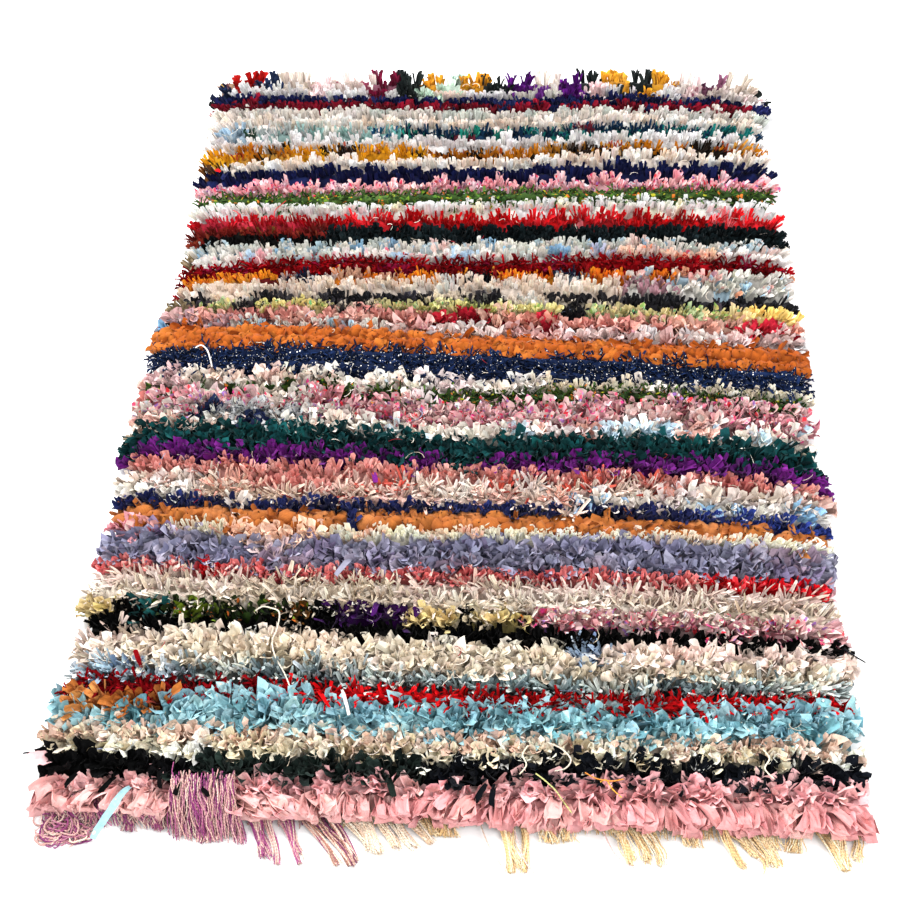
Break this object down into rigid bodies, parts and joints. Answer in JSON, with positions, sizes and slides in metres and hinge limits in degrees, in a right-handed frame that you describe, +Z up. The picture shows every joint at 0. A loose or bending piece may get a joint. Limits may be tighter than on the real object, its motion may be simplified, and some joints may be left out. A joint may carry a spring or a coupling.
{
  "type": "boucherouite rug",
  "caption": "Thick rag-pile floor rug with uneven rows of knotted cloth strips in many colours and a loose warp fringe at its front edge; lies flat on a floor.",
  "frame": {"origin": "middle of the underside, at the centre of the overall box that takes in the pile and the fringe", "axes": "+X across the width, +Y along the length towards the end without fringe, +Z up from the floor"},
  "size_m": [1.29, 1.94, 0.0483],
  "materials": {
    "pile_rags": "matte",
    "warp_yarn": "matte"
  },
  "bodies": {
    "root": {"rug_body": "pile_rags", "warp_fringe": "warp_yarn"}
  },
  "joints": []
}
